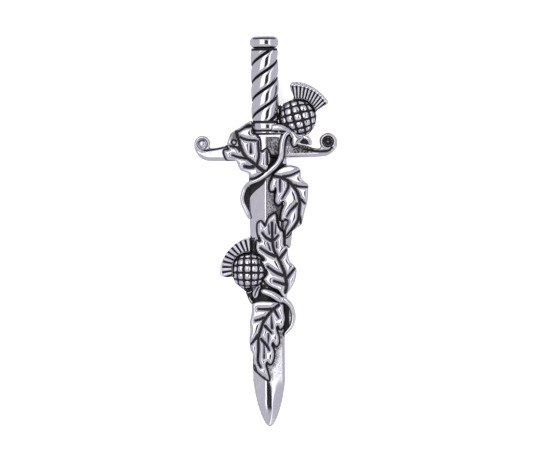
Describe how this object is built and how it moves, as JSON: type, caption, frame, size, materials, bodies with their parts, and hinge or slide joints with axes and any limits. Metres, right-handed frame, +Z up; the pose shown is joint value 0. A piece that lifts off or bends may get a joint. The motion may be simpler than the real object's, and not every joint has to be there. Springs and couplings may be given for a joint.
{
  "type": "kilt pin",
  "caption": "Dirk-shaped kilt pin in antiqued silver-tone metal: twisted grip, scrolled guard, and thistles, lobed leaves and a vine in relief over the blade, with a needle behind.",
  "frame": {"origin": "middle of the footprint, on the surface that the pin lies on", "axes": "+X to the right across the guard, +Y along the dirk towards the pommel, +Z up, out of the ornamented face"},
  "size_m": [0.0348, 0.095, 0.0119],
  "materials": {
    "antiqued_silver": "cast white metal with a bright silver-tone plate, polished high spots and a dark patina in the recesses",
    "pin_steel": "plain nickel-plated steel"
  },
  "bodies": {
    "root": {"pommel": "antiqued_silver", "grip": "antiqued_silver", "collar": "antiqued_silver", "guard": "antiqued_silver", "blade": "antiqued_silver", "vine": "antiqued_silver", "tendril": "antiqued_silver", "guard_leaf": "antiqued_silver", "shoulder_leaf": "antiqued_silver", "middle_leaf": "antiqued_silver", "lower_leaf": "antiqued_silver", "upper_thistle_bulb": "antiqued_silver", "upper_thistle_tuft": "antiqued_silver", "upper_thistle_stem": "antiqued_silver", "lower_thistle_bulb": "antiqued_silver", "lower_thistle_tuft": "antiqued_silver", "lower_thistle_stem": "antiqued_silver", "brooch_pin": "pin_steel"}
  },
  "joints": []
}
